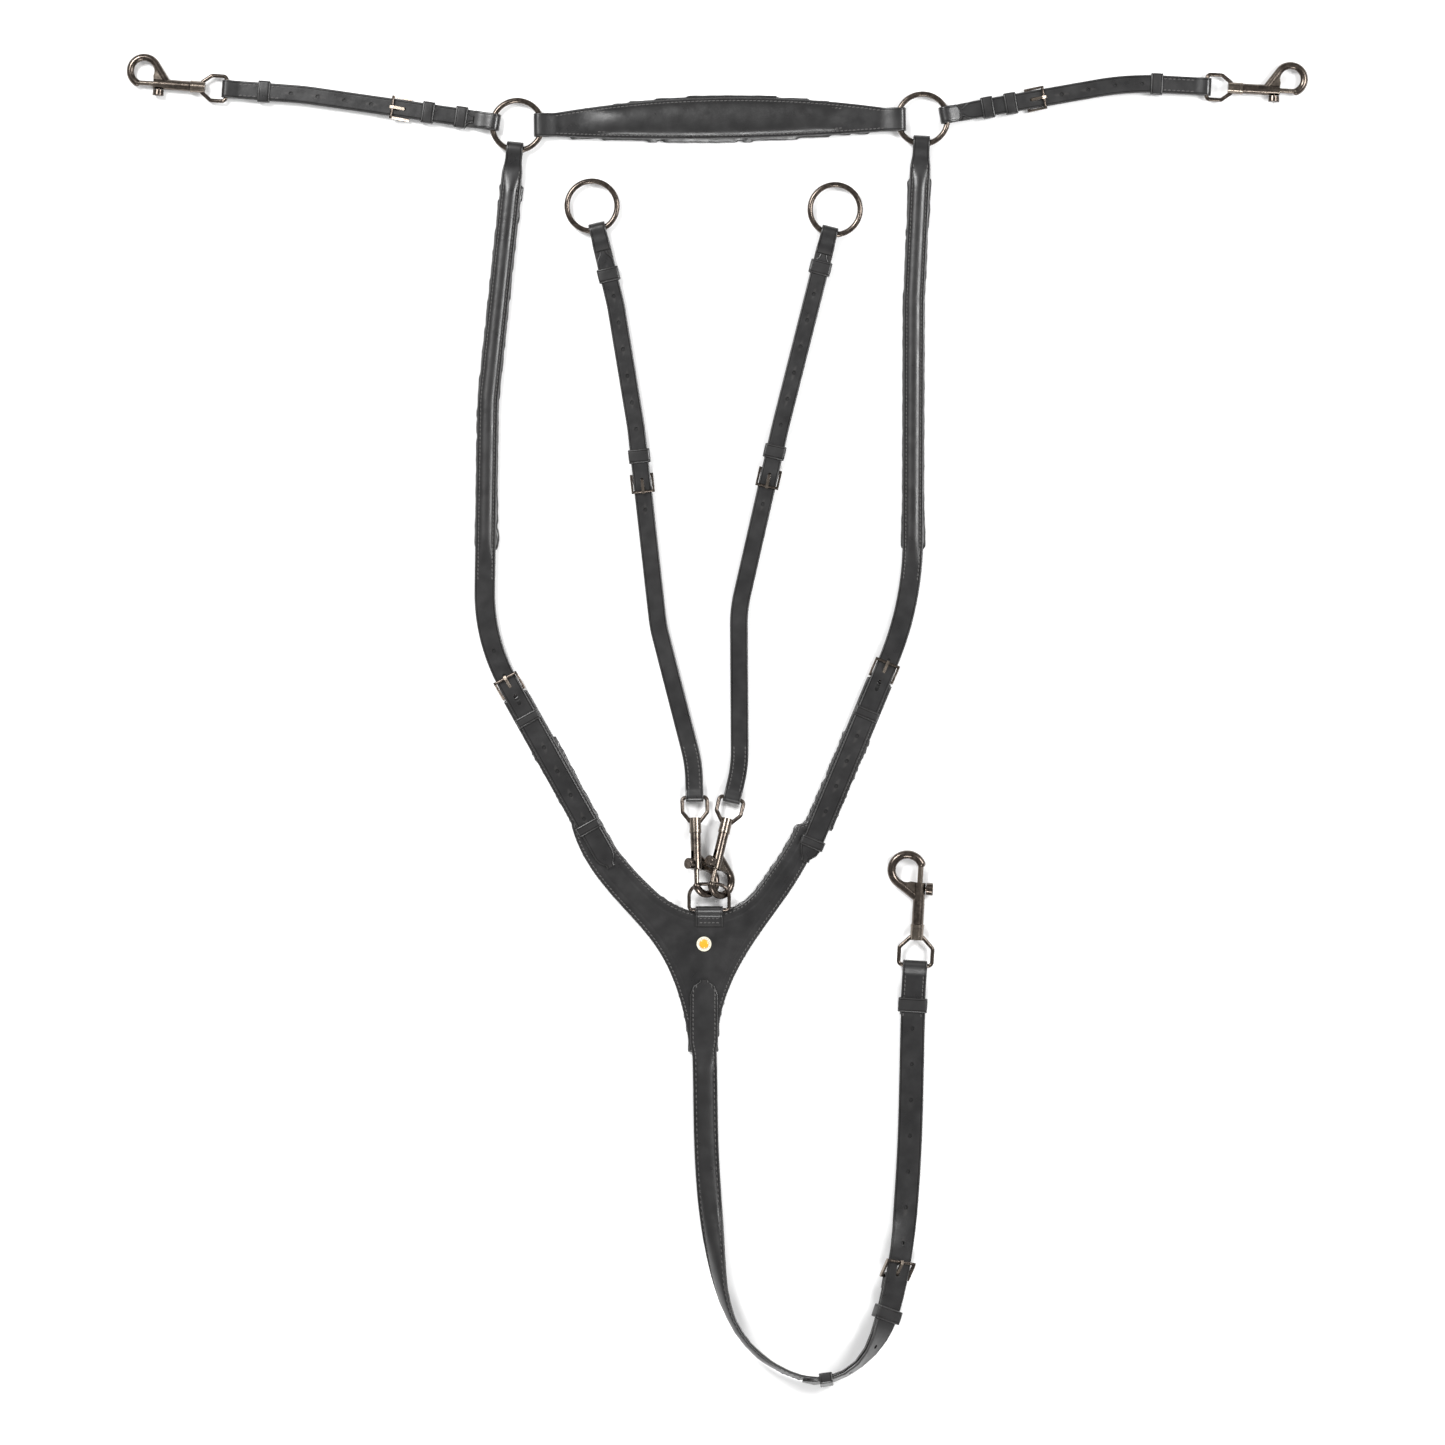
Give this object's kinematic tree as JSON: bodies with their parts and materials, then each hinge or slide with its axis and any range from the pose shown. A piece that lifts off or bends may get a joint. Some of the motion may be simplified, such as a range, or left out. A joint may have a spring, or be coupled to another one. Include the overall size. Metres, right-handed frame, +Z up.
{
  "type": "running martingale",
  "caption": "Black leather breastplate with a running martingale fork: padded yoke and wither pad, neck, saddle and girth straps with snap hooks.",
  "frame": {"origin": "underside of the yoke's lining, below the badge", "axes": "+Y from the yoke to the wither pad, +Z up from the surface it lies on, +X to the right seen from above"},
  "size_m": [1.0631, 1.2018, 0.0292],
  "materials": {
    "strap_leather": "satin black bridle leather",
    "lining_leather": "soft padded black lining leather",
    "gunmetal": "polished black nickel",
    "badge_enamel": "gloss"
  },
  "bodies": {
    "collar": {"yoke_lining": "lining_leather", "yoke_leather": "strap_leather", "badge": "badge_enamel", "dee_tab": "strap_leather", "neck_strap_l": "strap_leather", "neck_strap_r": "strap_leather", "neck_linings": "lining_leather", "neck_buckles": "gunmetal", "neck_keepers": "strap_leather", "girth_strap": "strap_leather", "girth_billet": "strap_leather", "girth_buckle": "gunmetal", "girth_keepers": "strap_leather"},
    "wither_pad": {"wither_lining": "lining_leather", "wither_leather": "strap_leather"},
    "wither_ring_l": {"wither_ring_l": "gunmetal"},
    "saddle_strap_l": {"saddle_strap_l": "strap_leather", "saddle_buckle_l": "gunmetal", "saddle_keepers_l": "strap_leather"},
    "saddle_slider_l": {"saddle_slider_l": "strap_leather"},
    "saddle_tongue_l": {"saddle_tongue_l": "gunmetal"},
    "saddle_eye_l": {"saddle_eye_l": "gunmetal"},
    "saddle_hook_l": {"saddle_hook_l": "gunmetal"},
    "saddle_bolt_l": {"saddle_bolt_l": "gunmetal"},
    "neck_tongue_l": {"neck_tongue_l": "gunmetal"},
    "wither_ring_r": {"wither_ring_r": "gunmetal"},
    "saddle_strap_r": {"saddle_strap_r": "strap_leather", "saddle_buckle_r": "gunmetal", "saddle_keepers_r": "strap_leather"},
    "saddle_slider_r": {"saddle_slider_r": "strap_leather"},
    "saddle_tongue_r": {"saddle_tongue_r": "gunmetal"},
    "saddle_eye_r": {"saddle_eye_r": "gunmetal"},
    "saddle_hook_r": {"saddle_hook_r": "gunmetal"},
    "saddle_bolt_r": {"saddle_bolt_r": "gunmetal"},
    "neck_tongue_r": {"neck_tongue_r": "gunmetal"},
    "dee": {"centre_dee": "gunmetal"},
    "fork_hook_l": {"fork_hook_l": "gunmetal"},
    "fork_bolt_l": {"fork_bolt_l": "gunmetal"},
    "fork_eye_l": {"fork_eye_l": "gunmetal"},
    "fork_strap_l": {"fork_strap_l": "strap_leather", "fork_buckle_l": "gunmetal", "fork_keeper_l": "strap_leather"},
    "fork_tongue_l": {"fork_tongue_l": "gunmetal"},
    "fork_slider_l": {"fork_slider_l": "strap_leather"},
    "fork_ring_l": {"fork_ring_l": "gunmetal"},
    "fork_hook_r": {"fork_hook_r": "gunmetal"},
    "fork_bolt_r": {"fork_bolt_r": "gunmetal"},
    "fork_eye_r": {"fork_eye_r": "gunmetal"},
    "fork_strap_r": {"fork_strap_r": "strap_leather", "fork_buckle_r": "gunmetal", "fork_keeper_r": "strap_leather"},
    "fork_tongue_r": {"fork_tongue_r": "gunmetal"},
    "fork_slider_r": {"fork_slider_r": "strap_leather"},
    "fork_ring_r": {"fork_ring_r": "gunmetal"},
    "girth_tongue": {"girth_tongue": "gunmetal"},
    "girth_eye": {"girth_eye": "gunmetal"},
    "girth_hook": {"girth_hook": "gunmetal"},
    "girth_bolt": {"girth_bolt": "gunmetal"}
  },
  "joints": [
    {"name": "wither_fold", "type": "hinge", "parent": "collar", "child": "wither_pad", "pos_m": [-0.17048, 0.71433, 0.0066], "axis": [0.9999, 0.0156, 0], "range_deg": [0, 50]},
    {"name": "wither_ring_turn_l", "type": "hinge", "parent": "wither_pad", "child": "wither_ring_l", "pos_m": [-0.1681, 0.7367, 0.0066], "axis": [0, 0, 1], "range_deg": [-60, 25]},
    {"name": "saddle_lift_l", "type": "hinge", "parent": "wither_ring_l", "child": "saddle_strap_l", "pos_m": [-0.19037, 0.73991, 0.0066], "axis": [0.1426, 0.9898, 0], "range_deg": [0, 50]},
    {"name": "saddle_keeper_slide_l", "type": "slide", "parent": "saddle_strap_l", "child": "saddle_slider_l", "axis": [-0.9973, 0.0732, 0], "range_m": [-0.012, 0.01]},
    {"name": "saddle_tongue_play_l", "type": "hinge", "parent": "saddle_strap_l", "child": "saddle_tongue_l", "pos_m": [-0.26566, 0.75076, 0.003], "axis": [0.1426, 0.9898, 0], "range_deg": [0, 8]},
    {"name": "saddle_snap_lift_l", "type": "hinge", "parent": "saddle_strap_l", "child": "saddle_eye_l", "pos_m": [-0.43, 0.7695, 0.0066], "axis": [0.0732, 0.9973, 0], "range_deg": [0, 60]},
    {"name": "saddle_snap_swivel_l", "type": "hinge", "parent": "saddle_eye_l", "child": "saddle_hook_l", "pos_m": [-0.43, 0.7695, 0.0066], "axis": [-0.9973, 0.0732, 0], "continuous": true},
    {"name": "saddle_bolt_pull_l", "type": "slide", "parent": "saddle_hook_l", "child": "saddle_bolt_l", "axis": [0.9973, -0.0732, 0], "range_m": [0, 0.0095], "stiffness_N_per_m": 400, "springref_m": -0.004},
    {"name": "neck_tongue_play_l", "type": "hinge", "parent": "collar", "child": "neck_tongue_l", "pos_m": [-0.17139, 0.22604, 0.003], "axis": [0.8727, 0.4883, 0], "range_deg": [0, 8]},
    {"name": "wither_ring_turn_r", "type": "hinge", "parent": "wither_pad", "child": "wither_ring_r", "pos_m": [0.1967, 0.7425, 0.0066], "axis": [0, 0, 1], "range_deg": [-25, 60]},
    {"name": "saddle_lift_r", "type": "hinge", "parent": "wither_ring_r", "child": "saddle_strap_r", "pos_m": [0.21886, 0.74639, 0.0066], "axis": [0.1731, -0.9849, 0], "range_deg": [0, 50]},
    {"name": "saddle_keeper_slide_r", "type": "slide", "parent": "saddle_strap_r", "child": "saddle_slider_r", "axis": [0.9986, -0.0523, 0], "range_m": [-0.002, 0.01]},
    {"name": "saddle_tongue_play_r", "type": "hinge", "parent": "saddle_strap_r", "child": "saddle_tongue_r", "pos_m": [0.291, 0.75907, 0.003], "axis": [0.1731, -0.9849, 0], "range_deg": [0, 8]},
    {"name": "saddle_snap_lift_r", "type": "hinge", "parent": "saddle_strap_r", "child": "saddle_eye_r", "pos_m": [0.4525, 0.7715, 0.0066], "axis": [-0.0523, -0.9986, 0], "range_deg": [0, 60]},
    {"name": "saddle_snap_swivel_r", "type": "hinge", "parent": "saddle_eye_r", "child": "saddle_hook_r", "pos_m": [0.4525, 0.7715, 0.0066], "axis": [0.9986, -0.0523, 0], "continuous": true},
    {"name": "saddle_bolt_pull_r", "type": "slide", "parent": "saddle_hook_r", "child": "saddle_bolt_r", "axis": [-0.9986, 0.0523, 0], "range_m": [0, 0.0095], "stiffness_N_per_m": 400, "springref_m": -0.004},
    {"name": "neck_tongue_play_r", "type": "hinge", "parent": "collar", "child": "neck_tongue_r", "pos_m": [0.1594, 0.23907, 0.003], "axis": [0.9229, -0.385, 0], "range_deg": [0, 8]},
    {"name": "dee_swing", "type": "hinge", "parent": "collar", "child": "dee", "pos_m": [0.0046, 0.031, 0.0094], "axis": [1, 0, 0], "range_deg": [0, 40]},
    {"name": "fork_snap_lift_l", "type": "hinge", "parent": "dee", "child": "fork_hook_l", "pos_m": [-0.00082, 0.05249, 0.01529], "axis": [0.9997, 0.0262, 0], "range_deg": [0, 7]},
    {"name": "fork_bolt_pull_l", "type": "slide", "parent": "fork_hook_l", "child": "fork_bolt_l", "axis": [-0.0258, 0.9851, -0.1702], "range_m": [0, 0.0095], "stiffness_N_per_m": 400, "springref_m": -0.004},
    {"name": "fork_snap_swivel_l", "type": "hinge", "parent": "fork_hook_l", "child": "fork_eye_l", "pos_m": [-0.0085, 0.132, 0.0066], "axis": [0.0258, -0.9851, 0.1702], "range_deg": [-15, 15]},
    {"name": "fork_strap_lift_l", "type": "hinge", "parent": "fork_eye_l", "child": "fork_strap_l", "pos_m": [-0.0085, 0.132, 0.0066], "axis": [0.9997, 0.0262, 0], "range_deg": [0, 60]},
    {"name": "fork_tongue_play_l", "type": "hinge", "parent": "fork_strap_l", "child": "fork_tongue_l", "pos_m": [-0.05633, 0.42197, 0.003], "axis": [-0.9938, -0.1115, 0], "range_deg": [0, 8]},
    {"name": "fork_keeper_slide_l", "type": "slide", "parent": "fork_strap_l", "child": "fork_slider_l", "axis": [0.2333, -0.9724, 0], "range_m": [-0.015, 0.004]},
    {"name": "fork_ring_lift_l", "type": "hinge", "parent": "fork_strap_l", "child": "fork_ring_l", "pos_m": [-0.09555, 0.64232, 0.0066], "axis": [0.9724, 0.2333, 0], "range_deg": [0, 50]},
    {"name": "fork_snap_lift_r", "type": "hinge", "parent": "dee", "child": "fork_hook_r", "pos_m": [0.01204, 0.05221, 0.01529], "axis": [0.9724, -0.2334, 0], "range_deg": [0, 7]},
    {"name": "fork_bolt_pull_r", "type": "slide", "parent": "fork_hook_r", "child": "fork_bolt_r", "axis": [0.23, 0.9582, -0.1702], "range_m": [0, 0.0095], "stiffness_N_per_m": 400, "springref_m": -0.004},
    {"name": "fork_snap_swivel_r", "type": "hinge", "parent": "fork_hook_r", "child": "fork_eye_r", "pos_m": [0.0252, 0.131, 0.0066], "axis": [-0.23, -0.9582, 0.1702], "range_deg": [-15, 15]},
    {"name": "fork_strap_lift_r", "type": "hinge", "parent": "fork_eye_r", "child": "fork_strap_r", "pos_m": [0.0252, 0.131, 0.0066], "axis": [0.9724, -0.2334, 0], "range_deg": [0, 60]},
    {"name": "fork_tongue_play_r", "type": "hinge", "parent": "fork_strap_r", "child": "fork_tongue_r", "pos_m": [0.05985, 0.42653, 0.003], "axis": [-0.9751, 0.222, 0], "range_deg": [0, 8]},
    {"name": "fork_keeper_slide_r", "type": "slide", "parent": "fork_strap_r", "child": "fork_slider_r", "axis": [-0.2445, -0.9696, 0], "range_m": [-0.008, 0.02]},
    {"name": "fork_ring_lift_r", "type": "hinge", "parent": "fork_strap_r", "child": "fork_ring_r", "pos_m": [0.1125, 0.63918, 0.0066], "axis": [0.9696, -0.2445, 0], "range_deg": [0, 50]},
    {"name": "girth_tongue_play", "type": "hinge", "parent": "collar", "child": "girth_tongue", "pos_m": [0.17135, -0.29993, 0.00729], "axis": [0.9002, -0.1804, -0.3964], "range_deg": [0, 8]},
    {"name": "girth_snap_lift", "type": "hinge", "parent": "collar", "child": "girth_eye", "pos_m": [0.1899, -0.019, 0.0066], "axis": [0.9982, -0.0598, 0], "range_deg": [0, 60]},
    {"name": "girth_snap_swivel", "type": "hinge", "parent": "girth_eye", "child": "girth_hook", "pos_m": [0.1899, -0.019, 0.0066], "axis": [0.0598, 0.9982, 0], "continuous": true},
    {"name": "girth_bolt_pull", "type": "slide", "parent": "girth_hook", "child": "girth_bolt", "axis": [-0.0598, -0.9982, 0], "range_m": [0, 0.011], "stiffness_N_per_m": 500, "springref_m": -0.004}
  ]
}
